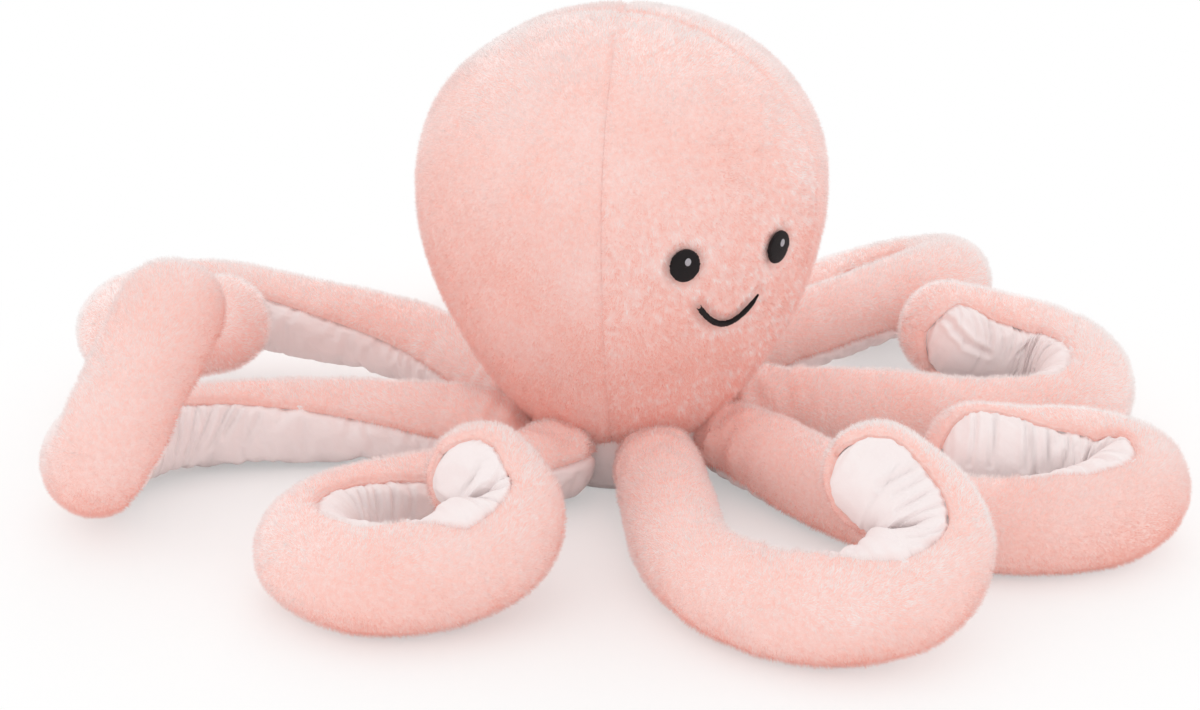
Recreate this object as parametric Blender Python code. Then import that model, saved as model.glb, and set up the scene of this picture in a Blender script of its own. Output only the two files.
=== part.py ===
"""A plush octopus that sits on a flat surface with its eight arms curled.

The head is sewn from four panels over a stuffed filling and closed below by a
base panel. Each arm is a plush top panel and a smooth underside panel over its
own filling. An arm begins in a ball end, which sits in a socket of the body and
lifts about the centre of that ball. Units are metres, +Z is up, the face looks
along -Y and the origin is the middle of the base, on the surface it sits on.
"""

import math

import bmesh
import bpy
import numpy as np
from mathutils import Matrix, Vector

# Head and base
HEAD_RADIUS = 0.131
HEAD_HEIGHT = 0.301
WIDEST_HEIGHT = 0.195
RIM_RADIUS = 0.062
RIM_HEIGHT = 0.034
BASE_RADIUS = 0.058
HEAD_SKIN = 0.0030
BASE_SKIN = 0.0025

# Arms
ARM_REACH = 0.440
ARM_ROOT_RADIUS = 0.0278
ARM_MIDDLE_RADIUS = 0.0292
ARM_END_RADIUS = 0.0335
ARM_SKIN = 0.0028
ARM_RING_RADIUS = 0.084
SEATED_FLAT = 0.0005
BEND_WEIGHT = 0.045

# Face, embroidered on the front panel
EYE_WIDTH = 0.019
EYE_TALL = 0.021
EYE_HEIGHT = 0.175
EYE_THICK = 0.0012
GLINT_WIDTH = 0.0038
GLINT_TALL = 0.0050
GLINT_RISE = 0.0030
GLINT_ASIDE = 0.0012
GLINT_THICK = 0.0008
SMILE_END_HEIGHT = 0.146
SMILE_LOW_HEIGHT = 0.1305
SMILE_STROKE = 0.0028
SMILE_THICK = 0.0011

# Clearance between pieces that touch
GAP = 0.0003

# Angles in degrees
FRONT_PANEL_ANGLE = 75.0
SIDE_PANEL_ANGLE = 105.0
EYE_ANGLE = 15.2
SMILE_ANGLE = 10.1
FIRST_ARM_ANGLE = -16.5
UNDERSIDE_ANGLE = 144.0
LIFT_LIMIT = 30.0
ROOT_BACK = (50.0, 25.0)
TIP_DOME = (30.0, 60.0)

# Counts
ARMS = 8
FRONT_PANEL_STEPS = 8
SIDE_PANEL_STEPS = 7
BACK_PANEL_STEPS = 5
PANEL_ROWS = 12
ARM_RINGS = 17
TOP_STEPS = 5
UNDERSIDE_STEPS = 3
SOCKET_STEPS = 20
SOCKET_DOME_STEPS = 5
EYE_STEPS = 16
SMILE_ROWS = 12
SMOOTH_STEPS = 24

# The flank, from the rim to the widest ring: handles of one curve, as shares of
# the way out and of the way up
FLANK_SHARES = ((0.0, 0.0), (0.45, 0.23), (1.0, 0.57), (1.0, 1.0))

# Where the arm has swollen to its middle and to its end radius, as shares of its length
MIDDLE_SWELL_SHARE = 0.40
END_SWELL_SHARE = 0.72

# How far the inner side of a bend may reach towards the middle of that bend
BEND_ROOM_SHARE = 0.80

# Each arm's line, from its root to its tip, seen from the root: how far out and to
# the left as shares of ARM_REACH, how far up as a share of the arm's thickness, and
# how far the underside is turned from down towards the left, in degrees
ARM_ROUTE_SHARES = (
    ((.00, .00, .00, 5), (.12, -.02, .00, 15), (.24, -.045, .00, 35), (.35, -.045, .00, 60),
     (.45, .00, .00, 80), (.525, .08, .02, 94), (.53, .18, .12, 112), (.485, .235, .38, 134),
     (.435, .215, .64, 150), (.395, .18, .78, 158)),
    ((.00, .00, .00, 5), (.08, -.03, .00, 15), (.19, -.08, .00, 35), (.30, -.11, .00, 60),
     (.41, -.10, .00, 80), (.51, -.055, .00, 88), (.585, .03, .02, 92), (.565, .135, .06, 98),
     (.485, .145, .08, 104), (.41, .10, .10, 108), (.345, .07, .12, 110)),
    ((.00, .00, .00, 5), (.09, -.03, .00, 15), (.18, -.08, .00, 35), (.28, -.14, .00, 60),
     (.37, -.18, .00, 80), (.465, -.185, .02, 90), (.53, -.10, .08, 96), (.50, .005, .16, 98),
     (.42, .03, .28, 98), (.34, .03, .44, 98)),
    ((.00, .00, .00, 5), (.11, -.03, .02, 5), (.185, -.085, .14, 0), (.255, -.155, .30, 0),
     (.33, -.215, .42, 8), (.41, -.26, .42, 25), (.49, -.245, .28, 45), (.535, -.16, .10, 55),
     (.465, -.085, .00, 55), (.39, -.07, .00, 55)),
    ((.00, .00, .00, 5), (.11, -.05, .00, 15), (.22, -.10, .00, 35), (.34, -.14, .00, 60),
     (.46, -.13, .00, 80), (.54, -.05, .03, 90), (.535, .06, .12, 96), (.45, .09, .24, 102),
     (.36, .05, .34, 106)),
    ((.00, .00, .00, 5), (.10, -.05, .02, 15), (.21, -.075, .10, 30), (.32, -.03, .24, 48),
     (.44, .01, .36, 64), (.55, .04, .36, 78), (.62, .12, .30, 90), (.585, .23, .30, 98),
     (.49, .245, .46, 106), (.40, .20, .62, 110)),
    ((.00, .00, .00, 5), (.06, -.05, .00, 14), (.16, -.08, .00, 36), (.28, -.105, .00, 62),
     (.39, -.125, .00, 74), (.50, -.115, .02, 78), (.575, -.05, .03, 88), (.59, .06, .10, 102),
     (.565, .125, .50, 115), (.52, .08, 1.02, 130), (.465, .02, 1.48, 140)),
    ((.00, .00, .00, 38), (.08, -.02, .00, 42), (.17, -.07, .00, 56), (.25, -.135, .00, 76),
     (.355, -.17, .00, 92), (.45, -.12, .00, 98), (.48, -.015, .00, 98), (.435, .065, .02, 104),
     (.35, .125, .12, 122), (.285, .11, .34, 140), (.28, .055, .54, 150)),
)

# The line that each arm lifts along, in degrees to the left of straight out
LIFT_TURNS = (15, 15, 0, -30, 0, 15, -30, 0)

PINK_PLUSH = ("pink plush", (0.93, 0.55, 0.48), 0.95)
WHITE_PLUSH = ("white plush", (0.90, 0.82, 0.81), 0.90)
STUFFING = ("stuffing", (0.85, 0.85, 0.83), 1.00)
DARK_THREAD = ("dark thread", (0.012, 0.010, 0.012), 0.60)
PALE_THREAD = ("pale thread", (0.75, 0.75, 0.78), 0.50)

HINGE_HEIGHT = ARM_ROOT_RADIUS - SEATED_FLAT
SEAM_HALF = GAP / 2
UP = np.array((0.0, 0.0, 1.0))


def clear_scene():
    for obj in list(bpy.data.objects):
        bpy.data.objects.remove(obj, do_unlink=True)


def material(finish):
    """The Principled material of a finish, made once."""
    name, colour, roughness = finish
    found = bpy.data.materials.get(name)
    if found:
        return found
    made = bpy.data.materials.new(name)
    made.use_nodes = True
    shader = made.node_tree.nodes["Principled BSDF"]
    shader.inputs["Base Color"].default_value = (*colour, 1.0)
    shader.inputs["Roughness"].default_value = roughness
    made.diffuse_color = (*colour, 1.0)
    return made


def add_object(name, points, faces, finish, parent=None):
    """One closed mesh with its faces pointing out, shaded smooth."""
    mesh = bpy.data.meshes.new(name)
    mesh.from_pydata([tuple(point) for point in points], [], faces)
    work = bmesh.new()
    work.from_mesh(mesh)
    bmesh.ops.recalc_face_normals(work, faces=work.faces)
    work.to_mesh(mesh)
    work.free()
    mesh.shade_smooth()
    mesh.set_sharp_from_angle(angle=math.radians(60))
    mesh.materials.append(material(finish))
    obj = bpy.data.objects.new(name, mesh)
    obj.parent = parent
    bpy.context.scene.collection.objects.link(obj)
    return obj


def split_quad(a, b, c, d):
    """Two triangles along one diagonal, so that sheets with the same rows stay parallel."""
    return (a, b, d), (b, c, d)


def closed_tube(name, rings, first, last, finish, parent=None):
    """A solid skin over closed rings of points, with a single point at each end."""
    rings = np.asarray(rings, float)
    rows, steps = rings.shape[:2]
    points = np.vstack((rings.reshape(-1, 3), first, last))
    start, end = len(points) - 2, len(points) - 1
    faces = []
    for k in range(steps):
        after = (k + 1) % steps
        faces.append((start, after, k))
        faces.append((end, (rows - 1) * steps + k, (rows - 1) * steps + after))
        for i in range(rows - 1):
            low, high = i * steps, (i + 1) * steps
            faces.extend(split_quad(low + k, low + after, high + after, high + k))
    return add_object(name, points, faces, finish, parent)


def closed_panel(name, outer, inner, outer_tip, inner_tip, finish, parent=None):
    """A fabric panel between an outer and an inner sheet of points that meet at a tip."""
    outer, inner = np.asarray(outer, float), np.asarray(inner, float)
    rows, columns = outer.shape[:2]
    size = rows * columns
    points = np.vstack((outer.reshape(-1, 3), inner.reshape(-1, 3), outer_tip, inner_tip))
    tips = (2 * size, 2 * size + 1)
    faces = []
    for sheet, tip in zip((0, size), tips):
        last = sheet + (rows - 1) * columns
        for k in range(columns - 1):
            faces.append((last + k, last + k + 1, tip))
            for i in range(rows - 1):
                low, high = sheet + i * columns + k, sheet + (i + 1) * columns + k
                faces.extend(split_quad(low, low + 1, high + 1, high))
    for k in (0, columns - 1):
        for i in range(rows - 1):
            low, high = i * columns + k, (i + 1) * columns + k
            faces.append((low, high, size + high, size + low))
        end = (rows - 1) * columns + k
        faces.append((end, tips[0], tips[1], size + end))
    for k in range(columns - 1):
        faces.append((k, k + 1, size + k + 1, size + k))
    return add_object(name, points, faces, finish, parent)


def spline(points, steps):
    """A uniform cubic spline that starts at the first point and ends at the last."""
    points = np.asarray(points, float)
    ends = np.vstack((2 * points[0] - points[1], points, 2 * points[-1] - points[-2]))
    t = np.linspace(0, 1, steps, endpoint=False)[:, None]
    weights = ((1 - t) ** 3, 3 * t**3 - 6 * t**2 + 4, 3 * (t + t**2 - t**3) + 1, t**3)
    spans = [
        sum(weight * ends[i + k] for k, weight in enumerate(weights)) / 6
        for i in range(len(ends) - 3)
    ]
    return np.vstack(spans + [points[-1:]])


def unit(vectors):
    return vectors / np.linalg.norm(vectors, axis=-1, keepdims=True)


def head_outline(inset):
    """Radius and height from the rim to the top, moved inwards by inset."""
    t = np.linspace(0, 1, SMOOTH_STEPS * 4)[:, None]
    shares = [np.asarray(share) for share in FLANK_SHARES]
    flank = ((1 - t) ** 3 * shares[0] + 3 * t * (1 - t) ** 2 * shares[1]
             + 3 * t**2 * (1 - t) * shares[2] + t**3 * shares[3])
    span = (HEAD_RADIUS - RIM_RADIUS, WIDEST_HEIGHT - RIM_HEIGHT)
    flank = flank * span + (RIM_RADIUS, RIM_HEIGHT)
    turn = np.linspace(0, math.pi / 2, SMOOTH_STEPS * 4)[1:]
    crown = np.stack((HEAD_RADIUS * np.cos(turn),
                      WIDEST_HEIGHT + (HEAD_HEIGHT - WIDEST_HEIGHT) * np.sin(turn)), 1)
    line = np.vstack((flank, crown))
    along = unit(np.gradient(line, axis=0))
    line = line + inset * np.stack((-along[:, 1], along[:, 0]), 1)
    return line


def head_rows(inset, rows):
    """Evenly spaced radius and height pairs of the outline, the last one on the axis."""
    line = head_outline(inset)
    length = np.r_[0, np.cumsum(np.linalg.norm(np.diff(line, axis=0), axis=1))]
    steps = np.linspace(0, length[-1], rows + 1)
    return np.stack([np.interp(steps, length, line[:, k]) for k in (0, 1)], 1)


def bearing_direction(bearing):
    """The level direction at an angle from the face, turning towards +X."""
    return np.array((math.sin(bearing), -math.cos(bearing), 0.0))


def ring_point(bearing, radius, height):
    return bearing_direction(bearing) * radius + UP * height


def head_panel_bearings():
    """Name, middle, half angle and steps of each head panel."""
    front, side = math.radians(FRONT_PANEL_ANGLE) / 2, math.radians(SIDE_PANEL_ANGLE) / 2
    return (("head_panel_front", 0.0, front, FRONT_PANEL_STEPS),
            ("head_panel_left", front + side, side, SIDE_PANEL_STEPS),
            ("head_panel_back", math.pi, front, BACK_PANEL_STEPS),
            ("head_panel_right", -front - side, side, SIDE_PANEL_STEPS))


def panel_offset(half_angle):
    """How far a head panel stands out, so that its two seams keep their gap."""
    return SEAM_HALF / math.sin(half_angle)


def add_head_panels():
    panels = []
    for name, middle, half, steps in head_panel_bearings():
        bearings = np.linspace(middle - half, middle + half, steps + 1)
        offset = bearing_direction(middle) * panel_offset(half)
        sheets, tips = [], []
        for inset in (0.0, HEAD_SKIN):
            rows = head_rows(inset, PANEL_ROWS)
            sheets.append([[ring_point(b, r, z) + offset for b in bearings]
                           for r, z in rows[:-1]])
            tips.append(UP * rows[-1][1] + offset)
        sheets = np.asarray(sheets) + UP * SEAM_HALF
        tips = np.asarray(tips) + UP * SEAM_HALF
        panels.append(closed_panel(name, *sheets, *tips, PINK_PLUSH))
    return panels


def body_bearings():
    """The bearings of every panel's steps, once round the head."""
    found = []
    for _, middle, half, steps in head_panel_bearings():
        found.extend(np.linspace(middle - half, middle + half, steps, endpoint=False))
    return np.unwrap(found)


def add_base_panel():
    """The underside of the head: a flat disc with a low wall that meets the head panels."""
    wall = RIM_HEIGHT - SEAM_HALF
    profile = ((BASE_RADIUS, 0.0), (RIM_RADIUS, wall), (RIM_RADIUS - BASE_SKIN, wall),
               (BASE_RADIUS - BASE_SKIN, BASE_SKIN))
    rings = [[ring_point(b, r, z) for b in body_bearings()] for r, z in profile]
    return closed_tube("base_panel", rings, UP * 0.0, UP * BASE_SKIN, WHITE_PLUSH)


def add_head_filling():
    base_inset, inset = BASE_SKIN + GAP, HEAD_SKIN + GAP
    rows = head_rows(inset, PANEL_ROWS)
    profile = [(BASE_RADIUS - base_inset, base_inset), (RIM_RADIUS - base_inset, RIM_HEIGHT)]
    profile.extend(rows[:-1])
    rings = [[ring_point(b, r, z) for b in body_bearings()] for r, z in profile]
    top = UP * rows[-1][1]
    return closed_tube("head_filling", rings, UP * base_inset, top, STUFFING)


def head_surface(bearing, height, lift):
    """A point above the front panel at a bearing and height, and how steep it is there."""
    line = head_outline(0.0)
    along = unit(np.gradient(line, axis=0))
    radius, slope_r, slope_z = (
        np.interp(height, line[:, 1], column) for column in (line[:, 0], *along.T))
    out = bearing_direction(bearing)
    offset = bearing_direction(0.0) * panel_offset(math.radians(FRONT_PANEL_ANGLE) / 2)
    normal = out * slope_z - UP * slope_r
    return out * radius + UP * height + normal * lift + offset, radius


def add_patch(name, bearing, height, width, tall, lift, thick, finish):
    """An oval of embroidery that follows the head's surface."""
    radius = head_surface(bearing, height, lift)[1]
    rings = []
    for level in (lift, lift + thick):
        turns = np.linspace(0, 2 * math.pi, EYE_STEPS, endpoint=False)
        rings.append([head_surface(bearing + math.cos(a) * width / 2 / radius,
                                   height + math.sin(a) * tall / 2, level)[0] for a in turns])
    first, last = (head_surface(bearing, height, level)[0] for level in (lift, lift + thick))
    return closed_tube(name, rings, first, last, finish)


def add_eyes():
    for side, name in ((-1, "eye_right"), (1, "eye_left")):
        bearing = side * math.radians(EYE_ANGLE)
        add_patch(name, bearing, EYE_HEIGHT, EYE_WIDTH, EYE_TALL, GAP, EYE_THICK, DARK_THREAD)
        aside = GLINT_ASIDE / HEAD_RADIUS
        add_patch(name + "_glint", bearing + aside, EYE_HEIGHT + GLINT_RISE, GLINT_WIDTH,
                  GLINT_TALL, GAP + EYE_THICK + GAP, GLINT_THICK, PALE_THREAD)


def smile_line(shares):
    """Bearings and heights along the smile, for shares from -1 to 1."""
    rise = SMILE_END_HEIGHT - SMILE_LOW_HEIGHT
    return shares * math.radians(SMILE_ANGLE), SMILE_LOW_HEIGHT + rise * shares**2


def add_smile():
    shares = np.linspace(-1, 1, SMILE_ROWS + 1)
    bearings, heights = smile_line(shares)
    radius = head_surface(0.0, SMILE_LOW_HEIGHT, GAP)[1]
    line = np.stack((bearings * radius, heights), 1)
    along = unit(np.gradient(line, axis=0))
    across = np.stack((-along[:, 1], along[:, 0]), 1) * SMILE_STROKE / 2
    corners = ((-1, 0.0), (1, 0.0), (1, SMILE_THICK), (-1, SMILE_THICK))
    rings = []
    for (x, z), (dx, dz) in zip(line, across):
        rings.append([head_surface((x + side * dx) / radius, z + side * dz, GAP + level)[0]
                      for side, level in corners])
    first, last = np.mean(rings[0], axis=0), np.mean(rings[-1], axis=0)
    return closed_tube("smile", rings, first, last, DARK_THREAD)


def smooth_share(value):
    value = np.clip(value, 0, 1)
    return value * value * (3 - 2 * value)


def arm_radius(share):
    """The arm's radius at a share of its length: it swells towards its end."""
    middle = smooth_share(share / MIDDLE_SWELL_SHARE)
    end = smooth_share((share - MIDDLE_SWELL_SHARE) / (END_SWELL_SHARE - MIDDLE_SWELL_SHARE))
    return (ARM_ROOT_RADIUS + (ARM_MIDDLE_RADIUS - ARM_ROOT_RADIUS) * middle
            + (ARM_END_RADIUS - ARM_MIDDLE_RADIUS) * end)


def carried_down(along):
    """The downward direction at the root, carried along the arm without twisting."""
    down = np.zeros_like(along)
    before = -UP
    for i, direction in enumerate(along):
        before = unit(before - direction * (before @ direction))
        down[i] = before
    return down


class Arm:
    """The line of one arm in its own frame: x out, y left, z up, the hinge at zero."""

    def __init__(self, route):
        rows = spline(route, SMOOTH_STEPS)
        reach = rows[:, :2] * ARM_REACH
        rise = rows[:, 2] * 2 * ARM_END_RADIUS
        length = self.lengths(np.column_stack((reach, rise)))
        radius = arm_radius(length / length[-1])
        height = radius - SEATED_FLAT - HINGE_HEIGHT + rise
        centre = np.column_stack((reach, height))
        along = unit(np.gradient(centre, axis=0))
        bend = np.gradient(along, axis=0) / np.gradient(length)[:, None]
        sharpness = np.linalg.norm(bend, axis=1)
        turned = np.cumsum((sharpness[1:] + sharpness[:-1]) / 2 * np.diff(length))
        effort = length + BEND_WEIGHT * np.r_[0, turned]
        down = carried_down(along)
        left = np.cross(-down, along)
        roll = np.radians(rows[:, 3])[:, None]
        under = np.cos(roll) * down + np.sin(roll) * left
        table = np.column_stack((centre, along, under, bend, radius))
        stations = np.linspace(0, effort[-1], ARM_RINGS)
        table = np.column_stack([np.interp(stations, effort, column) for column in table.T])
        self.centre, along, under, bend = (table[:, i:i + 3] for i in (0, 3, 6, 9))
        self.radius = table[:, 12]
        self.along = unit(along)
        self.under = unit(under - self.along * np.sum(under * self.along, axis=1)[:, None])
        self.side = np.cross(self.along, self.under)
        sharpness = np.linalg.norm(bend, axis=1)
        self.inward = bend / np.maximum(sharpness, 1 / ARM_REACH)[:, None]
        crowding = sharpness * self.radius
        self.room = BEND_ROOM_SHARE / np.maximum(crowding, BEND_ROOM_SHARE)

    @staticmethod
    def lengths(points):
        return np.r_[0, np.cumsum(np.linalg.norm(np.diff(points, axis=0), axis=1))]

    def spoke(self, i, angle):
        """The direction from the centre line to the skin, drawn in where the arm bends."""
        straight = math.cos(angle) * self.under[i] + math.sin(angle) * self.side[i]
        inward = max(float(straight @ self.inward[i]), 0.0)
        return straight + self.inward[i] * inward * (self.room[i] - 1)

    def sheet(self, angles, inset, floor, shift=0.0):
        """Rows of points at an inset below the skin, and the point at the tip."""
        rows = []
        last = len(self.centre) - 1
        places = [(0, math.cos(math.radians(a)), -math.sin(math.radians(a))) for a in ROOT_BACK]
        places += [(i, 1.0, 0.0) for i in range(last + 1)]
        places += [(last, math.cos(math.radians(a)), math.sin(math.radians(a))) for a in TIP_DOME]
        for i, around, ahead in places:
            deep = self.radius[i] - inset
            middle = self.centre[i] + self.along[i] * ahead * deep + self.under[i] * shift
            rows.append([middle + self.spoke(i, angle) * around * deep for angle in angles])
        tip = self.centre[-1] + self.along[-1] * (self.radius[-1] - inset) + self.under[-1] * shift
        rows = np.asarray(rows)
        rows[..., 2] = np.maximum(rows[..., 2], floor - HINGE_HEIGHT)
        return rows, tip

    def raised_direction(self, turn):
        """The arm's first direction once it is lifted as far as it goes."""
        left = Vector((-math.sin(turn), math.cos(turn), 0))
        return Matrix.Rotation(-math.radians(LIFT_LIMIT), 3, left) @ Vector(self.along[0])


def add_arm_panel(arm, name, first_angle, last_angle, steps, shift, finish, parent):
    angles = np.linspace(first_angle, last_angle, steps + 1)
    outer, outer_tip = arm.sheet(angles, 0.0, 0.0, shift)
    inner, inner_tip = arm.sheet(angles, ARM_SKIN, ARM_SKIN, shift)
    return closed_panel(name, outer, inner, outer_tip, inner_tip, finish, parent)


def add_arm_filling(arm, name, parent):
    half = math.radians(UNDERSIDE_ANGLE) / 2
    angles = np.r_[np.linspace(-half, half, UNDERSIDE_STEPS, endpoint=False),
                   np.linspace(half, 2 * math.pi - half, TOP_STEPS, endpoint=False)]
    inset = ARM_SKIN + GAP
    rows, tip = arm.sheet(angles, inset, inset)
    start = arm.centre[0] - arm.along[0] * (arm.radius[0] - inset)
    return closed_tube(name, rows, start, tip, STUFFING, parent)


def add_socket_cutter(arm, name, turn, parent):
    """The room that the ball end and the raised arm need in the body."""
    step = math.pi / 2 / SOCKET_DOME_STEPS
    radius = (ARM_ROOT_RADIUS + GAP) / math.cos(math.pi / SOCKET_STEPS) / math.cos(step / 2)
    turns = np.linspace(0, 2 * math.pi, SOCKET_STEPS, endpoint=False)
    places = [(radius * math.sin(i * step), -radius * math.cos(i * step))
              for i in range(1, SOCKET_DOME_STEPS + 1)]
    places.append((radius, HEAD_RADIUS))
    rings = [[(r * math.cos(a), r * math.sin(a), z) for a in turns] for r, z in places]
    cutter = closed_tube(name, rings, (0, 0, -radius), (0, 0, HEAD_RADIUS), STUFFING, parent)
    cutter.rotation_euler = arm.raised_direction(turn).to_track_quat("Z", "Y").to_euler()
    cutter.hide_render = True
    cutter.display_type = "WIRE"
    return cutter


def add_arm(index, sockets):
    """One arm under an empty at its hinge, with its cutter in the sockets collection."""
    name = f"arm_{index + 1}"
    bearing = math.radians(FIRST_ARM_ANGLE + index * 360 / ARMS)
    hinge = bpy.data.objects.new(name + "_hinge", None)
    hinge.location = ring_point(bearing, ARM_RING_RADIUS, HINGE_HEIGHT)
    hinge.rotation_euler = (0, 0, bearing - math.pi / 2)
    bpy.context.scene.collection.objects.link(hinge)
    arm = Arm(ARM_ROUTE_SHARES[index])
    half = math.radians(UNDERSIDE_ANGLE) / 2
    shift = SEAM_HALF / math.sin(half)
    add_arm_panel(arm, name + "_underside", -half, half, UNDERSIDE_STEPS, shift, WHITE_PLUSH, hinge)
    add_arm_panel(arm, name + "_top", half, 2 * math.pi - half, TOP_STEPS, -shift, PINK_PLUSH, hinge)
    add_arm_filling(arm, name + "_filling", hinge)
    turn = math.radians(LIFT_TURNS[index])
    cutter = add_socket_cutter(arm, name + "_socket_cutter", turn, hinge)
    bpy.context.scene.collection.objects.unlink(cutter)
    sockets.objects.link(cutter)


def cut_sockets(obj, sockets):
    cut = obj.modifiers.new("arm sockets", "BOOLEAN")
    cut.operation = "DIFFERENCE"
    cut.operand_type = "COLLECTION"
    cut.collection = sockets
    cut.solver = "EXACT"


def main():
    clear_scene()
    sockets = bpy.data.collections.new("arm sockets")
    bpy.context.scene.collection.children.link(sockets)
    for index in range(ARMS):
        add_arm(index, sockets)
    for obj in (*add_head_panels(), add_base_panel(), add_head_filling()):
        cut_sockets(obj, sockets)
    add_eyes()
    add_smile()


main()
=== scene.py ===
"""The looks of the plush octopus: furred head panels and arms, short-napped white
undersides, stitched face, floor, lights and camera. Lengths are in metres."""

import itertools
import math

import bpy
import numpy as np
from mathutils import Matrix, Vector


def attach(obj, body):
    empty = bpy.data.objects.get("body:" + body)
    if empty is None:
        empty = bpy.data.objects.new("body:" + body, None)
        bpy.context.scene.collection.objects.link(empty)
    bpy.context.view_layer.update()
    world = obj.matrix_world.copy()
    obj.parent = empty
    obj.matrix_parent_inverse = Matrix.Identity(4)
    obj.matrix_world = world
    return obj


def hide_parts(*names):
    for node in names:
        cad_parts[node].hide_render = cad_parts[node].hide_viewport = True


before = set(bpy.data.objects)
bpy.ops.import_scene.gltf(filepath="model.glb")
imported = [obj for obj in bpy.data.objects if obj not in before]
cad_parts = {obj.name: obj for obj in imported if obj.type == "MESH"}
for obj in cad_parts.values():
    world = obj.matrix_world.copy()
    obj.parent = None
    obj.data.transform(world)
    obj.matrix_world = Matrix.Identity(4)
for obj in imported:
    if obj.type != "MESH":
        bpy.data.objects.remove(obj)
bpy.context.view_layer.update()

# Sizes, as in the part's source
HEAD_RADIUS = 0.131
HEAD_HEIGHT = 0.301
WIDEST_HEIGHT = 0.195
RIM_RADIUS = 0.062
RIM_HEIGHT = 0.034
BASE_RADIUS = 0.058
ARM_REACH = 0.440
ARM_ROOT_RADIUS = 0.0278
ARM_MIDDLE_RADIUS = 0.0292
ARM_END_RADIUS = 0.0335
ARM_RING_RADIUS = 0.084
SEATED_FLAT = 0.0005
BEND_WEIGHT = 0.045
EYE_WIDTH = 0.019
EYE_TALL = 0.021
EYE_HEIGHT = 0.175
GLINT_WIDTH = 0.0038
GLINT_TALL = 0.0050
GLINT_RISE = 0.0030
GLINT_ASIDE = 0.0012
SMILE_END_HEIGHT = 0.146
SMILE_LOW_HEIGHT = 0.1305
SMILE_STROKE = 0.0028
SMILE_FULL = SMILE_STROKE * 1.25    # the satin stands a little wider than its line
FRONT_PANEL_ANGLE = math.radians(75.0)
SIDE_PANEL_ANGLE = math.radians(105.0)
EYE_ANGLE = math.radians(15.2)
SMILE_ANGLE = math.radians(10.1)
FIRST_ARM_ANGLE = -16.5     # degrees
UNDERSIDE_HALF = math.radians(144.0) / 2
ARMS = 8
# painted light: how much paler than the head each arm's pile is painted, for the studio's light that
# falls on it
ARM_PAINTED_PALENESS = (0.48, 0.24, 1.45, 1.40, 0.60, 1.25, 0.16, 0.42)
# how far each white panel is turned over the arm at shares of its length, in degrees
SOLE_TURNS = {
    0: ((0.62, 0), (0.76, 32), (0.86, 32), (0.93, 24), (1.0, 27)),
    1: ((0.50, 0), (0.62, 25), (0.70, 25), (0.82, -18), (0.90, -8), (0.98, 18)),
    2: ((0.45, 0), (0.56, 16), (0.68, -3), (0.84, -12), (0.95, -5), (1.02, 15)),
    7: ((0.75, 0), (0.82, 30), (0.90, 14), (0.96, 8), (1.03, 20)),
}
# where the stuffing is pressed out at a sharp bend: metres along the arm, and how far
BEND_SWELLS = {0: (0.297, 0.006), 7: (0.342, 0.006)}
# the plain folds of the white panels: both ends as millimetres along the arm and degrees
# around it, then depth in fold units and half width in millimetres
FOLD_LINES = {
    0: ((357, 90, 364, 34, 2.4, 2.0), (351, 88, 354, 41, 1.3, 1.4), (343, 91, 345, 35, 1.6, 1.5),
        (334, 92, 334, 21, 1.4, 1.5), (324, 95, 300, 78, 1.4, 1.6), (313, 98, 296, 88, 1.2, 1.5)),
    1: ((428, 80, 430, 0, 1.3, 1.6), (416, 80, 417, 0, 1.9, 1.6), (397, 67, 397, 0, 2.8, 1.8),
        (384, 60, 386, 0, 2.1, 1.6), (370, 50, 375, 0, 2.2, 1.6), (350, 44, 358, 5, 2.0, 1.6)),
    2: ((397, 51, 387, 34, 2.2, 2.6), (387, 34, 376, 21, 2.4, 2.6), (376, 21, 356, 12, 2.2, 2.6),
        (362, 57, 356, 12, 1.9, 1.6), (317, 49, 330, 20, 2.0, 1.6), (388, 72, 385, 35, 0.9, 1.2),
        (381, 73, 369, 24, 0.9, 1.2), (372, 67, 361, 22, 0.9, 1.2), (352, 53, 345, 13, 1.1, 1.3),
        (340, 55, 338, 15, 1.0, 1.3), (281, 51, 279, 22, 1.6, 1.6)),
    6: ((165, 70, 184, 20, 1.8, 1.8), (173, 75, 195, 5, 1.9, 1.8), (184, 75, 206, 5, 1.9, 1.8),
        (198, 77, 215, 0, 1.9, 1.8), (215, 60, 227, 0, 1.7, 1.8), (155, 60, 168, 10, 1.2, 1.6)),
    7: ((396, 57, 391, 16, 1.3, 1.4), (383, 69, 375, 22, 1.8, 1.6), (370, 75, 362, 20, 1.4, 1.5),
        (150, 72, 160, 24, 1.6, 1.8), (139, 73, 146, 10, 1.5, 1.8), (126, 73, 132, 10, 1.5, 1.8),
        (113, 73, 118, 10, 1.4, 1.8), (163, 70, 170, 20, 1.6, 1.6)),
}
OUTLINE_STEPS = 200
FLANK_SHARES = ((0.0, 0.0), (0.45, 0.23), (1.0, 0.57), (1.0, 1.0))
MIDDLE_SWELL_SHARE = 0.40
END_SWELL_SHARE = 0.72
BEND_ROOM_SHARE = 0.80
SPLINE_STEPS = 24
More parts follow.
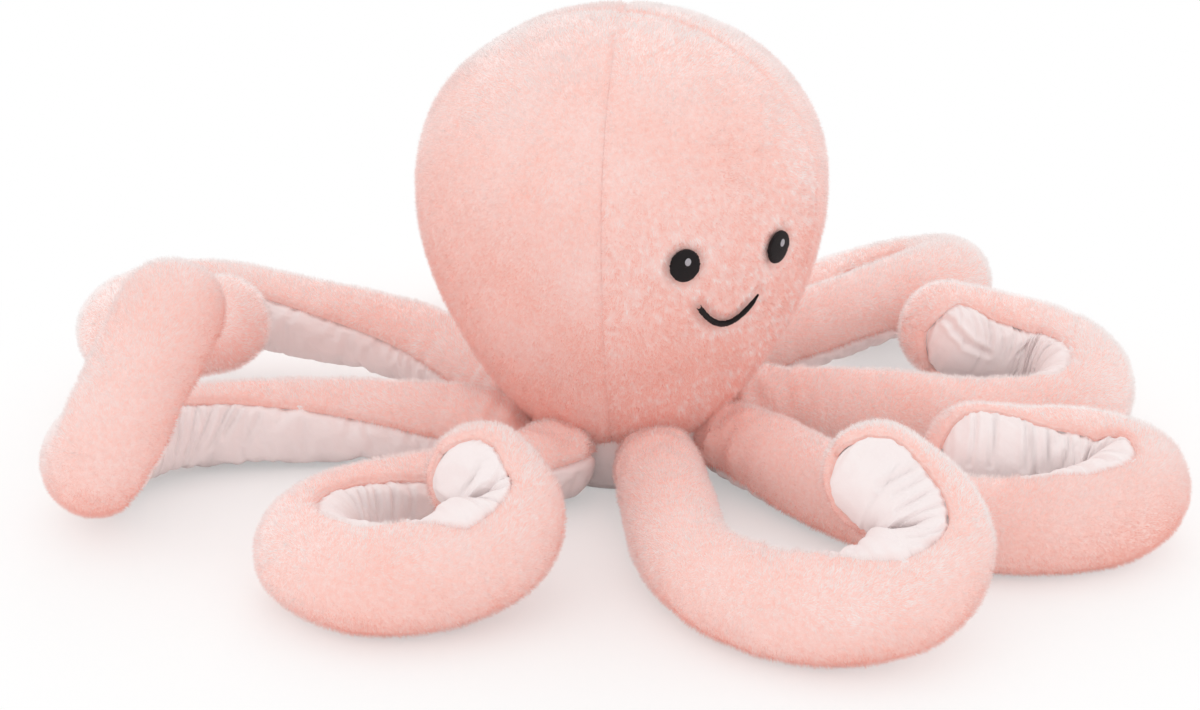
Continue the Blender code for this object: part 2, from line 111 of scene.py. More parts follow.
ARM_ROUTE_SHARES = (
    ((.00, .00, .00, 5), (.12, -.02, .00, 15), (.24, -.045, .00, 35), (.35, -.045, .00, 60),
     (.45, .00, .00, 80), (.525, .08, .02, 94), (.53, .18, .12, 112), (.485, .235, .38, 134),
     (.435, .215, .64, 150), (.395, .18, .78, 158)),
    ((.00, .00, .00, 5), (.08, -.03, .00, 15), (.19, -.08, .00, 35), (.30, -.11, .00, 60),
     (.41, -.10, .00, 80), (.51, -.055, .00, 88), (.585, .03, .02, 92), (.565, .135, .06, 98),
     (.485, .145, .08, 104), (.41, .10, .10, 108), (.345, .07, .12, 110)),
    ((.00, .00, .00, 5), (.09, -.03, .00, 15), (.18, -.08, .00, 35), (.28, -.14, .00, 60),
     (.37, -.18, .00, 80), (.465, -.185, .02, 90), (.53, -.10, .08, 96), (.50, .005, .16, 98),
     (.42, .03, .28, 98), (.34, .03, .44, 98)),
    ((.00, .00, .00, 5), (.11, -.03, .02, 5), (.185, -.085, .14, 0), (.255, -.155, .30, 0),
     (.33, -.215, .42, 8), (.41, -.26, .42, 25), (.49, -.245, .28, 45), (.535, -.16, .10, 55),
     (.465, -.085, .00, 55), (.39, -.07, .00, 55)),
    ((.00, .00, .00, 5), (.11, -.05, .00, 15), (.22, -.10, .00, 35), (.34, -.14, .00, 60),
     (.46, -.13, .00, 80), (.54, -.05, .03, 90), (.535, .06, .12, 96), (.45, .09, .24, 102),
     (.36, .05, .34, 106)),
    ((.00, .00, .00, 5), (.10, -.05, .02, 15), (.21, -.075, .10, 30), (.32, -.03, .24, 48),
     (.44, .01, .36, 64), (.55, .04, .36, 78), (.62, .12, .30, 90), (.585, .23, .30, 98),
     (.49, .245, .46, 106), (.40, .20, .62, 110)),
    ((.00, .00, .00, 5), (.06, -.05, .00, 14), (.16, -.08, .00, 36), (.28, -.105, .00, 62),
     (.39, -.125, .00, 74), (.50, -.115, .02, 78), (.575, -.05, .03, 88), (.59, .06, .10, 102),
     (.565, .125, .50, 115), (.52, .08, 1.02, 130), (.465, .02, 1.48, 140)),
    ((.00, .00, .00, 38), (.08, -.02, .00, 42), (.17, -.07, .00, 56), (.25, -.135, .00, 76),
     (.355, -.17, .00, 92), (.45, -.12, .00, 98), (.48, -.015, .00, 98), (.435, .065, .02, 104),
     (.35, .125, .12, 122), (.285, .11, .34, 140), (.28, .055, .54, 150)),
)

# Cloth, shared by the head and the arms
UP = np.array((0.0, 0.0, 1.0))
MILLIMETRE = 0.001
PILE_ROOM = 0.0020      # how far the furred cloth lies below the soft outline of the pile
NAP_ROOM = 0.0022       # the white cloth lies this far below the arm's outline
SEAM_DEPTH = 0.0022
SEAM_WIDTH = 0.0028
TUCK = 0.0030
FLOOR_CLEAR = 0.0004
SETTLE_HEIGHT = 0.004   # cloth that would be lower than this is pressed flat

# How the pile lies. The leans are shares of the way that a strand goes sideways
PILE_LENGTH = 0.0036
PILE_WIDTH = 0.00030
PILE_PER_AREA = 1.75e6
PILE_DIP = 0.0003       # how far a strand starts below the cloth
BARE_SHARE = 0.02       # pile that is cut shorter than this is left out
STRAND_LENGTH_SHARES = (0.7, 1.15)
UNEVEN_LENGTH = 0.22
TUFT_SIZE = 0.0030
PATCH_SIZE = 0.0024
DRIFT_SIZE = 0.016
CLOUD_SIZE = 0.055
NAP_LEAN = 0.75
TUFT_LEAN = 0.75
DRIFT_LEAN = 0.6
STRAY = 0.35
PILE_SLANT = 0.75

# The tone of a strand, from 0, deep, to 1, pale, which carries painted light and shade as well as
# tone that differs at random, and the direction that it is shaded for
TONE_SIDEWAYS = 0.32
TONE_PAINTED_TOP_LIGHT = 0.58        # painted light: how much paler the pile is painted where it faces up, for the light from above
TONE_CLOUDS = 0.35
# painted shade: how far depth deepens the pile's tone; depth below 0 paints it paler for light
TONE_PAINTED_SHADE = 0.39
TONE_STRAY = 0.06
TONE_MARGIN = 0.03
# the flecks are tone that differs from tuft to tuft, and partly painted shade between the tufts
FACE_FLECK = 0.68
PLUSH_FLECK = 0.20
FLECK_PAINTED_SHADE_FADE = 0.95       # painted shade: the flecks between tufts are painted weaker where the pile faces up
CLOTH_SHADING = 0.9
STRAND_SHADING = 0.6
TUFT_SHADING = 0.25
STRAY_SHADING = 0.08
STRAND_MAP_HALF = 0.01
STRAND_MAP_EDGE = 0.02

# The head's cloth
HEAD_ROWS = 132
HEAD_EDGE_PULL = 1.25
CROWN_GAP = 0.0004
HEAD_GROOVE = 0.0019
HEAD_SWELLS = ((0.055, 31, 0.0012), (0.022, 32, 0.0005))    # size, seed and height
PUCKER_SIZE = 0.007
PUCKER_SEED = 33
PUCKER_HEIGHT = 0.0005
PUCKER_REACH = 0.010
HEAD_SEAM_PILE_SHARE = 0.65
HEAD_SEAM_PILE_WIDTH = 0.0016
# painted shade: the pile is painted a deeper pink along the head's seams
HEAD_SEAM_PAINTED_SHADE = 0.5
HEAD_SEAM_SHADE_WIDTH = 0.0025
PIT_DEPTH = 0.0022      # the stitches draw the cloth into a pit with a padded edge
PIT_WIDTH = 0.0038
# painted shade: the pile is painted a deeper pink in the pit around the stitches
PIT_PAINTED_SHADE = 0.7
PIT_SHADE_WIDTH = 0.0025
PAD_AWAY = 0.0062
PAD_WIDTH = 0.0024
PAD_HEIGHT = 0.0007
# painted highlight: the pile on the padded edge around the stitches is painted paler
PAD_PAINTED_HIGHLIGHT = 1.1
FACE_PILE_SHARE = 0.45
FACE_PILE_REACH = 0.004
STITCH_EDGE = 0.0001    # no pile grows nearer to a stitch than this
BASE_COLUMNS = 96

# Stitches. Each profile gives shares of the width and of the thickness
STITCH_SUNK = 0.0018
SMILE_RADIUS_SHARE = 0.97
SMILE_SPOTS = 41
PATCH_POINTS = 144
PATCH_DOME_SHARES = ((1.0, 0.0), (0.995, 0.45), (0.96, 0.75), (0.88, 0.92), (0.7, 1.0),
                     (0.45, 1.04), (0.2, 1.06), (0.01, 1.06))
PATCH_RAGGED = (-0.08, 0.05)
THREADS_DRAWN = 200
THREAD = 0.00050
EYE_THREAD = 0.00055
EYE_THICK = 0.0022
GLINT_RAISED = 0.0002
GLINT_THICK = 0.0006
SMILE_POINTS = 181
SMILE_THREADS_ACROSS = 5
SMILE_THICK = 0.0021
SMILE_RAGGED = (-0.22, 0.16)
SMILE_ROLL_SHARES = ((-1.0, 0.0), (-0.97, 0.5), (-0.75, 0.85), (-0.35, 1.0), (0.0, 1.05),
                     (0.35, 1.0), (0.75, 0.85), (0.97, 0.5), (1.0, 0.0))
SMILE_THIN_SHARE = 0.25
SMILE_THIN_END = 1.04
SMILE_THINS_OVER = 0.35
SMILE_BLUNT_END = 1.03
SMILE_BLUNT_OVER = 0.05
SMILE_THIN_RISE = 0.3

# The arms' outline
ROOT_BALL_DEGREES = np.arange(-86, -4, 9)
TIP_BALL_DEGREES = np.append(np.arange(2, 88, 2), 89.6)
SOLE_HALF = math.radians(66.0)
SOLE_NARROWS_FROM = 0.6
SOLE_NARROWS_OVER = 0.3
SOLE_AHEAD_SHARE = 0.82
SOLE_ROUND = 0.006
LEAST_AROUND = 0.12

# The arms' furred cloth
PLUSH_RINGS = 150
PLUSH_COLUMNS = 64
PLUSH_EDGE_PULL = 1.35
PLUSH_SPREAD = 0.012
ARM_END_SPREAD = 0.03
GATHER_STRETCH = (0.3, 1, 1)    # gathers run across the seam
STUFFING_SIZE = 0.036
STUFFING_HEIGHT = 0.0010
BEND_SWELL_LENGTH = 0.024
ROOT_CREASED = 0.055        # how far from the root the cloth is creased most
ROOT_CREASE = 0.0024
EVERY_CREASE = 0.0005
CREASE_SIZE = 0.0075
ROOT_SEAM_OUT = 0.001
ROOT_SEAM_DEPTH = 0.0014
ROOT_SEAM_WIDTH = 0.0050
ROOT_SEAM_PAINTED_SHADE = 0.2             # painted shade: the pile is painted a deeper pink along the root's seam, in its groove
ROOT_SEAM_SHADE_WIDTH = 0.0030
PLUSH_GATHER_SIZE = 0.0055
PLUSH_GATHER = 0.0010
PLUSH_GATHER_REACH = 0.010
ARM_SEAM_PILE_SHARE = 0.85
ARM_SEAM_PILE_REACH = 0.003
# painted shade: the pile is painted a deeper pink along the seam, where it dives into the groove
ARM_SEAM_PAINTED_SHADE = 1.2
ARM_SEAM_SHADE_WIDTH = 0.0030
FLOOR_PILE_SHARE = 0.35
FLOOR_PILE_FROM = 0.0015
FLOOR_PILE_OVER = 0.006
PILE_TURNS = 1.3            # the pile leans over the seam beside it
PILE_TURNS_WIDTH = 0.0045

# The arms' white cloth
NAP_RINGS = 300
NAP_COLUMNS = 80
NAP_EDGE_PULL = 1.2
NAP_SPREAD = 0.010
NAP_OVERLAP = 0.10
NAP_ENDS_NEARING = 1.05
NAP_SEAM_DEPTH = SEAM_DEPTH * 1.3
NAP_SEAM_REACH = 0.02
SOLE_SUNK = 0.0004
TIP_SOLE_SUNK = 0.0016
TIP_SINKS_FROM = 0.72
TIP_SINKS_OVER = 0.2
SMALL_LUMP_SIZE = 0.0045
SMALL_LUMP = 0.0003
NAP_GATHER_SIZE = 0.0038
NAP_GATHER = 0.0018
NAP_GATHER_REACH = 0.007
NAP_CREASE_SIZE = 0.0085
NAP_CREASE_WIDTH = 0.16
NAP_CREASE = 0.0017
CREASE_STRETCH = (0.4, 1, 1)
CREASE_WANDER_SIZE = 0.030
CREASE_WANDER = (0, 0, 0.004)
CREASES_FROM = 0.40
CREASES_OVER = 0.2
CREASES_END_NEARING = 0.55
CREASES_FADE = 1.2

# Folds. The simulated ones come from cloth that is cut longer than its place
SLACK_COLUMNS = 40
SLACK_SHARE = 0.12          # how much longer it is cut at a bend
STRAIGHT_SLACK_SHARE = 0.30
FULL_SLACK_CROWDING = 0.6
UNEVEN_SIZE = 0.0055
UNEVEN_HEIGHT = 0.0004
FOLD_CAP = 0.0028
FOLD_FRAMES = 20
FOLDED_NEARING = 0.80
FOLD_DEPTH_UNIT = 0.0014
FOLD_BOW = 0.0012
FOLD_LIP_SHARE = 0.35
FOLD_LIP_AWAY = 1.9
FOLD_END_SHARE = 0.45
FOLD_ENDS = 0.02
FOLDS_END_WIDTH = 0.004


# Shader nodes
class Wire:
    """A socket of a material's nodes that takes part in sums and products."""

    def __init__(self, tree, socket):
        self.tree, self.socket = tree, socket

    def node(self, kind, settings=(), values=(), output=0):
        """A new node: its settings first, then the values or links of its sockets."""
        made = self.tree.nodes.new(kind)
        for name, value in dict(settings).items():
            setattr(made, name, value)
        for name, value in dict(values).items():
            if isinstance(value, Wire):
                self.tree.links.new(value.socket, made.inputs[name])
            else:
                made.inputs[name].default_value = value
        return Wire(self.tree, made.outputs[output])

    def maths(self, operation, *values):
        return self.node("ShaderNodeMath", {"operation": operation}, dict(enumerate(values)))

    def __add__(self, other):
        return self.maths("ADD", self, other)

    __radd__ = __add__

    def __sub__(self, other):
        return self.maths("SUBTRACT", self, other)

    def __rsub__(self, other):
        return self.maths("SUBTRACT", other, self)

    def __mul__(self, other):
        return self.maths("MULTIPLY", self, other)

    __rmul__ = __mul__

    def clamped(self):
        return self.node("ShaderNodeClamp", {}, {"Value": self})

    def between(self, low, high):
        """0 where this is low, 1 where it is high, smooth in between."""
        return self.node("ShaderNodeMapRange", {"interpolation_type": "SMOOTHSTEP"},
                         {"Value": self, "From Min": low, "From Max": high})

    def mix(self, first, second):
        """The first colour where this is 0 and the second where it is 1."""
        return self.node("ShaderNodeMix", {"data_type": "RGBA"}, {0: self, 6: first, 7: second}, 2)

    def noise(self, place, scale, detail=2.0, roughness=0.5):
        return self.node("ShaderNodeTexNoise", {}, {"Vector": place, "Scale": scale,
                         "Detail": detail, "Roughness": roughness})


def start_material(name):
    """A bare material, a Wire that adds nodes to it, and its output node."""
    material = bpy.data.materials.new(name)
    material.use_nodes = True
    tree = material.node_tree
    tree.nodes.clear()
    output = tree.nodes.new("ShaderNodeOutputMaterial")
    return material, Wire(tree, None), output


def cloth_material(name, paint, constants, both_sides=False):
    """A Principled material, whose varying sockets paint gives. With both_sides, as for a
    strand of pile, the back of a face takes the light that falls on its front."""
    material, wire, output = start_material(name)
    varying = paint(wire)
    shader = wire.node("ShaderNodeBsdfPrincipled", {}, {**constants, **varying})
    if both_sides:
        glow = wire.node("ShaderNodeBsdfTranslucent", {}, {"Color": varying["Base Color"]})
        behind = wire.node("ShaderNodeNewGeometry", output="Backfacing")
        shader = wire.node("ShaderNodeMixShader", {}, {0: behind, 1: shader, 2: glow})
    wire.tree.links.new(shader.socket, output.inputs["Surface"])
    return material


def rgb(red, green, blue):
    return (red, green, blue, 1.0)


# painted light and shade: the pile's roots and the cloth under it are painted a deeper pink for the
# shade among the strands, and the tips paler for the light on them
PINK_TIP = rgb(0.980, 0.905, 0.890)
PINK_PALE = rgb(0.972, 0.815, 0.790)
PINK_MIDDLE = rgb(0.940, 0.500, 0.440)
PINK_SHADED_GROUND = rgb(0.955, 0.430, 0.345)
PINK_SHADED_ROOT = rgb(0.915, 0.290, 0.200)
WHITE_CLOTH = rgb(0.950, 0.885, 0.880)
WHITE_SHADE = rgb(0.915, 0.815, 0.810)


def paint_plush_ground(wire):
    """The knitted ground under the pile: painted a deeper pink for the shade under the strands, in
    small tufts.
    """
    place = wire.node("ShaderNodeTexCoord", output=3)
    tufts = wire.noise(place, scale=330.0, detail=3.0, roughness=0.6)
    drift = wire.noise(place, scale=22.0)
    tone = (tufts * 0.75 + drift * 0.45 - 0.1).clamped()
    colour = tone.mix(PINK_SHADED_GROUND, PINK_PALE)
    bump = wire.node("ShaderNodeBump", {}, {"Strength": 0.7, "Distance": 0.0012, "Height": tufts})
    return {"Base Color": colour, "Normal": bump}


def paint_pile(wire):
    """A strand of pile: its tone goes across the map, from deep to pale, and its length up it, from a
    root painted deeper for shade to a tip painted paler for light.
    """
    uv = wire.node("ShaderNodeUVMap", {"uv_map": "OFBake"})
    parts = wire.node("ShaderNodeSeparateXYZ", {}, {"Vector": uv})
    along = Wire(wire.tree, parts.socket.node.outputs[1])
    low = parts.mix(PINK_SHADED_ROOT, PINK_PALE)
    high = parts.mix(PINK_MIDDLE, PINK_TIP)
    return {"Base Color": along.between(0.0, 0.55).mix(low, high)}


def paint_nap(wire):
    """White short-napped cloth, with a faint grain across it."""
    place = wire.node("ShaderNodeTexCoord", output=3)
    grain = wire.noise(place, scale=900.0, detail=3.0, roughness=0.6)
    patches = wire.noise(place, scale=60.0, detail=3.0)
    tone = (grain * 0.5 + patches * 0.8 - 0.15).clamped()
    colour = tone.mix(WHITE_SHADE, WHITE_CLOTH)
    height = grain * 0.5 + patches
    bump = wire.node("ShaderNodeBump", {}, {"Strength": 0.35, "Distance": 0.0010, "Height": height})
    return {"Base Color": colour, "Normal": bump}


def paint_stitches(wire, dark, light):
    """Satin stitch: threads side by side, read from the piece's own map."""
    uv = wire.node("ShaderNodeUVMap", {"uv_map": "stitches"})
    threads = wire.node("ShaderNodeTexWave", {"bands_direction": "Y", "wave_profile": "SIN"},
                        {"Vector": uv, "Scale": 0.5, "Distortion": 0.35, "Detail": 1.0})
    fuzz = wire.noise(uv, scale=3.0)
    colour = (threads * 0.7 + fuzz * 0.3).clamped().mix(dark, light)
    bump = wire.node("ShaderNodeBump", {}, {"Strength": 0.8, "Distance": 0.0003, "Height": threads})
    return {"Base Color": colour, "Normal": bump}


def make_materials():
    dark = (rgb(0.004, 0.003, 0.004), rgb(0.026, 0.022, 0.024))
    pale = (rgb(0.42, 0.40, 0.44), rgb(0.80, 0.79, 0.84))
    plush = pile = {"Roughness": 1.0, "Specular IOR Level": 0.0}
    nap = {"Roughness": 0.9, "Specular IOR Level": 0.05, "Sheen Weight": 0.10,
           "Sheen Roughness": 0.4}
    thread = {"Roughness": 0.55, "Specular IOR Level": 0.25}
    return {
        "plush": cloth_material("pink plush ground", paint_plush_ground, plush),
        "pile": cloth_material("pink plush pile", paint_pile, pile, both_sides=True),
        "nap": cloth_material("white short nap", paint_nap, nap),
        "dark": cloth_material("dark satin stitch", lambda t: paint_stitches(t, *dark), thread),
        "pale": cloth_material("pale satin stitch", lambda t: paint_stitches(t, *pale), thread),
    }


# Small tools
def unit(vectors):
    return vectors / np.maximum(np.linalg.norm(vectors, axis=-1, keepdims=True), 1e-12)


def smooth_share(value):
    value = np.clip(value, 0, 1)
    return value * value * (3 - 2 * value)


def at_least(least, share):
    """A share from 0 to 1, brought between least and 1."""
    return least + (1 - least) * share


def near_line(away, width):
    """1 on a line, and fading to 0 at about twice the width from it."""
    return np.exp(-(away / width) ** 2)


def spaced(first, last, count, pull):
    """Numbers from first to last, closer together at both ends."""
    share = np.linspace(-1, 1, count)
    share = np.sign(share) * (1 - (1 - np.abs(share)) ** pull)
    return (first + last) / 2 + share * (last - first) / 2


def within_half_turn(angles):
    return (angles + math.pi) % (2 * math.pi) - math.pi


def travelled_along(points):
    """The length of a line up to each of its points."""
    return np.r_[0, np.cumsum(np.linalg.norm(np.diff(points, axis=0), axis=1))]


def lumps(points, size, seed):
    """Smooth noise from -1 to 1, in lumps of about the given size."""
    table = np.random.default_rng(seed).uniform(-1, 1, 4096)
    cell = np.asarray(points) / size
    base = np.floor(cell).astype(np.int64)
    part = smooth_share(cell - base)
    total = 0.0
    for corner in itertools.product((0, 1), repeat=3):
        keys = (base + corner) @ np.array((73856093, 19349663, 83492791))
        weight = np.prod(np.where(corner, part, 1 - part), axis=-1)
        total = total + weight * table[keys & 4095]
    return total


def link(obj):
    bpy.context.scene.collection.objects.link(obj)
    return obj


def grid_normals(grid):
    """The outward normals of a grid of points whose rows and columns turn right-handed."""
    down, across = np.gradient(grid, axis=0), np.gradient(grid, axis=1)
    return unit(np.cross(across, down))


def sheet_object(name, grid, material, around=False):
    """A smooth sheet through a grid of points, closed sideways if around is true."""
    rows, columns = grid.shape[:2]
    ids = np.arange(rows * columns).reshape(rows, columns)
    if around:
        ids = np.column_stack((ids, ids[:, :1]))
    quads = np.stack((ids[:-1, :-1], ids[:-1, 1:], ids[1:, 1:], ids[1:, :-1]), -1).reshape(-1, 4)
    mesh = bpy.data.meshes.new(name)
    mesh.from_pydata(grid.reshape(-1, 3).tolist(), [], quads.tolist())
    mesh.shade_smooth()
    mesh.materials.append(material)
    return link(bpy.data.objects.new(name, mesh))


def strand_object(name, roots, tips, across, normals, tones, material):
    """Pile: one thin triangle for each strand, shaded with the cloth's own normals."""
    count = len(roots)
    points = np.stack((roots - across, roots + across, tips), 1).reshape(-1, 3)
    mesh = bpy.data.meshes.new(name)
    mesh.vertices.add(3 * count)
    mesh.vertices.foreach_set("co", points.astype(np.float32).ravel())
    mesh.loops.add(3 * count)
    mesh.loops.foreach_set("vertex_index", np.arange(3 * count, dtype=np.int32))
    mesh.polygons.add(count)
    mesh.polygons.foreach_set("loop_start", np.arange(0, 3 * count, 3, dtype=np.int32))
    places = np.empty((count, 3, 2), np.float32)
    low, high = (np.full(count, place) for place in (STRAND_MAP_EDGE, 1 - STRAND_MAP_EDGE))
    places[:, 0] = np.column_stack((tones - STRAND_MAP_HALF, low))
    places[:, 1] = np.column_stack((tones + STRAND_MAP_HALF, low))
    places[:, 2] = np.column_stack((tones, high))
    mesh.uv_layers.new(name="OFBake").data.foreach_set("uv", places.ravel())
    mesh.update(calc_edges=True)
    mesh.shade_smooth()
    mesh.normals_split_custom_set_from_vertices(np.repeat(normals, 3, axis=0).tolist())
    mesh.materials.append(material)
    pile = link(bpy.data.objects.new(name, mesh))
    pile.visible_shadow = pile.visible_diffuse = pile.visible_transmission = False
    return pile


def grow_pile(name, grid, normals, nap_way, shortness, depth, fleck, seed, material):
    """Strands over a grid of points. nap_way is where the pile leans, shortness where it is
    cut, depth where painted shade deepens its pink, painted light where below 0, and fleck how much
    its tufts differ in colour."""
    rng = np.random.default_rng(seed)
    corners = [grid[:-1, :-1], grid[:-1, 1:], grid[1:, 1:], grid[1:, :-1]]
    area = np.linalg.norm(np.cross(corners[2] - corners[0], corners[3] - corners[1]), axis=-1) / 2
    count = int(area.sum() * PILE_PER_AREA)
    share = np.cumsum(area.ravel()) / area.sum()
    picked = np.searchsorted(share, rng.random(count)).clip(0, area.size - 1)
    row, column = np.unravel_index(picked, area.shape)
    a, b = rng.random((2, count, 1))

    def at(values):
        near = values[row, column] * (1 - b) + values[row, column + 1] * b
        far = values[row + 1, column] * (1 - b) + values[row + 1, column + 1] * b
        return near * (1 - a) + far * a

    roots, up, way = at(grid), unit(at(normals)), at(nap_way)
    cut = at(shortness[..., None])[:, 0]
    dark = at(depth[..., None])[:, 0]
    keep = cut > BARE_SHARE
    roots, up, way, cut, dark = (values[keep] for values in (roots, up, way, cut, dark))
    count = len(roots)
    tuft = np.stack([lumps(roots, TUFT_SIZE, seed + k) for k in range(3)], 1)
    drift = np.stack([lumps(roots, DRIFT_SIZE, seed + 5 + k) for k in range(3)], 1)
    lean = way * NAP_LEAN + tuft * TUFT_LEAN + drift * DRIFT_LEAN + rng.normal(0, STRAY, (count, 3))
    lean = lean - up * np.sum(lean * up, axis=1, keepdims=True)
    aim = unit(lean * PILE_SLANT + up)
    patch = lumps(roots, PATCH_SIZE, seed + 11)
    length = (PILE_LENGTH * cut * (1 + UNEVEN_LENGTH * patch)
              * rng.uniform(*STRAND_LENGTH_SHARES, count))
    tips = roots + aim * length[:, None]
    tips[:, 2] = np.maximum(tips[:, 2], FLOOR_CLEAR)
    across = unit(np.cross(aim, up) + rng.normal(0, STRAY, (count, 3))) * PILE_WIDTH / 2
    across *= np.sign(np.sum(np.cross(across, aim) * up, axis=1, keepdims=True))
    level = up[:, 2]
    clouds = lumps(roots, CLOUD_SIZE, seed + 13)
    # painted light where the pile faces up and painted shade where depth is high, besides random
    # clouds
    tone = TONE_SIDEWAYS + TONE_PAINTED_TOP_LIGHT * level + TONE_CLOUDS * clouds - TONE_PAINTED_SHADE * dark
    tone += fleck * (1 - FLECK_PAINTED_SHADE_FADE * level) * patch + rng.normal(0, TONE_STRAY, count)
    tone = np.clip(tone, TONE_MARGIN, 1 - TONE_MARGIN)
    flat = unit(np.cross(across, aim))
    bent = unit(CLOTH_SHADING * up + STRAND_SHADING * flat + TUFT_SHADING * tuft
                + rng.normal(0, STRAY_SHADING, (count, 3)))
    return strand_object(name, roots - up * PILE_DIP, tips, across, bent, tone, material)


# Head
def bearing_direction(bearing):
    """The level direction at a bearing, which is 0 at the front and turns towards +X."""
    bearing = np.asarray(bearing)
    return np.stack((np.sin(bearing), -np.cos(bearing), 0 * bearing), -1)


def head_outline():
    """Radius, height and outward direction from the rim to the top."""
    t = np.linspace(0, 1, OUTLINE_STEPS)[:, None]
    shares = [np.asarray(share) for share in FLANK_SHARES]
    flank = ((1 - t) ** 3 * shares[0] + 3 * t * (1 - t) ** 2 * shares[1]
             + 3 * t**2 * (1 - t) * shares[2] + t**3 * shares[3])
    flank = flank * (HEAD_RADIUS - RIM_RADIUS, WIDEST_HEIGHT - RIM_HEIGHT) + (RIM_RADIUS, RIM_HEIGHT)
    turn = np.linspace(0, math.pi / 2, OUTLINE_STEPS)[1:]
    crown = np.stack((HEAD_RADIUS * np.cos(turn),
                      WIDEST_HEIGHT + (HEAD_HEIGHT - WIDEST_HEIGHT) * np.sin(turn)), 1)
    line = np.vstack((flank, crown))
    along = unit(np.gradient(line, axis=0))
    return line, np.stack((along[:, 1], -along[:, 0]), 1)


OUTLINE, OUTWARD = head_outline()


def head_place(bearing, height, lift):
    """A point above the head at a bearing and a height, and the outward direction there."""
    radius, out_r, out_z = (
        np.interp(height, OUTLINE[:, 1], column) for column in (OUTLINE[:, 0], *OUTWARD.T))
    out = bearing_direction(bearing) * out_r[..., None] + UP * out_z[..., None]
    flat = bearing_direction(bearing) * radius[..., None] + UP * np.asarray(height)[..., None]
    return flat + out * np.asarray(lift)[..., None], out


def smile_line(share):
    """Bearing and height of the middle of the smile, from one end at -1 to the other at 1."""
    rise = SMILE_END_HEIGHT - SMILE_LOW_HEIGHT
    return share * SMILE_ANGLE, SMILE_LOW_HEIGHT + rise * share**2


FACE_RADIUS = float(np.interp(EYE_HEIGHT, OUTLINE[:, 1], OUTLINE[:, 0]))


def stitch_distance(bearing, height):
    """Distance over the cloth to the nearest edge of an eye or of the smile."""
    found = np.full(np.shape(bearing), 1.0)
    for side in (-1, 1):
        x = (bearing - side * EYE_ANGLE) * FACE_RADIUS
        z = height - EYE_HEIGHT
        reach = np.hypot(x / (EYE_WIDTH / 2), z / (EYE_TALL / 2))
        found = np.minimum(found, (reach - 1) * EYE_WIDTH / 2)
    for share in np.linspace(-1, 1, SMILE_SPOTS):
        b, z = smile_line(share)
        away = np.hypot((bearing - b) * FACE_RADIUS * SMILE_RADIUS_SHARE, height - z) - SMILE_FULL / 2
        found = np.minimum(found, away)
    return found


def add_head_panel(name, middle, half, columns, seed, materials):
    """A furred panel of the head, drawn in along its seams and, in front, around the stitches."""
    length = travelled_along(OUTLINE)
    steps = np.linspace(0, length[-1], HEAD_ROWS)
    steps[-1] -= CROWN_GAP
    radius, height, out_r, out_z = (
        np.interp(steps, length, column) for column in (*OUTLINE.T, *OUTWARD.T))
    bearing = middle + half * spaced(-1, 1, columns, HEAD_EDGE_PULL)
    facing = bearing_direction(bearing)[None]
    out = facing * out_r[:, None, None] + UP * out_z[:, None, None]
    flat = facing * radius[:, None, None] + UP * height[:, None, None]
    aside = (half - np.abs(bearing - middle))[None] * radius[:, None]
    wave = sum(lumps(flat, size, key) * rise for size, key, rise in HEAD_SWELLS)
    pucker = lumps(flat, PUCKER_SIZE, PUCKER_SEED) * PUCKER_HEIGHT * near_line(aside, PUCKER_REACH)
    lift = -PILE_ROOM - HEAD_GROOVE * near_line(aside, SEAM_WIDTH) + wave + pucker
    beside = 1 - near_line(aside, HEAD_SEAM_PILE_WIDTH)
    shortness = at_least(HEAD_SEAM_PILE_SHARE, beside)
    # painted shade along the seams
    deep = HEAD_SEAM_PAINTED_SHADE * near_line(aside, HEAD_SEAM_SHADE_WIDTH)
    if name == "front":
        near = stitch_distance(np.broadcast_to(bearing, aside.shape), height[:, None] + 0 * aside)
        outside = np.maximum(near, 0)
        pad = near_line(near - PAD_AWAY, PAD_WIDTH)
        lift = lift - PIT_DEPTH * near_line(outside, PIT_WIDTH) + PAD_HEIGHT * pad
        beside = at_least(FACE_PILE_SHARE, smooth_share(near / FACE_PILE_REACH))
        shortness = shortness * np.where(near < STITCH_EDGE, 0, beside)
        # painted highlight on the padded edge and painted shade in the pit
        deep = deep - PAD_PAINTED_HIGHLIGHT * pad + PIT_PAINTED_SHADE * near_line(outside, PIT_SHADE_WIDTH)
    grid = flat + out * lift[..., None]
    edge = flat + out * (lift - TUCK)[..., None]
    cloth = np.concatenate((edge[:, :1], grid, edge[:, -1:]), 1)
    plush = sheet_object(f"head_{name}_plush", cloth, materials["plush"])
    way = np.broadcast_to(-UP, flat.shape)
    fleck = FACE_FLECK if name == "front" else PLUSH_FLECK
    pile = grow_pile(f"head_{name}_pile", grid, grid_normals(grid), way, shortness, deep, fleck,
                     seed, materials["pile"])
    pile.parent = plush
    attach(plush, "head")
    return plush


def add_head(materials):
    front, side = FRONT_PANEL_ANGLE / 2, SIDE_PANEL_ANGLE / 2
    panels = (("front", 0.0, front, 90), ("left", front + side, side, 70),
              ("back", math.pi, front, 56), ("right", -front - side, side, 70))
    for order, (name, middle, half, columns) in enumerate(panels):
        plush = add_head_panel(name, middle, half, columns, 100 + 20 * order, materials)
        hidden = ["head_filling"] if name == "front" else []
        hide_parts(f"head_panel_{name}", *hidden)


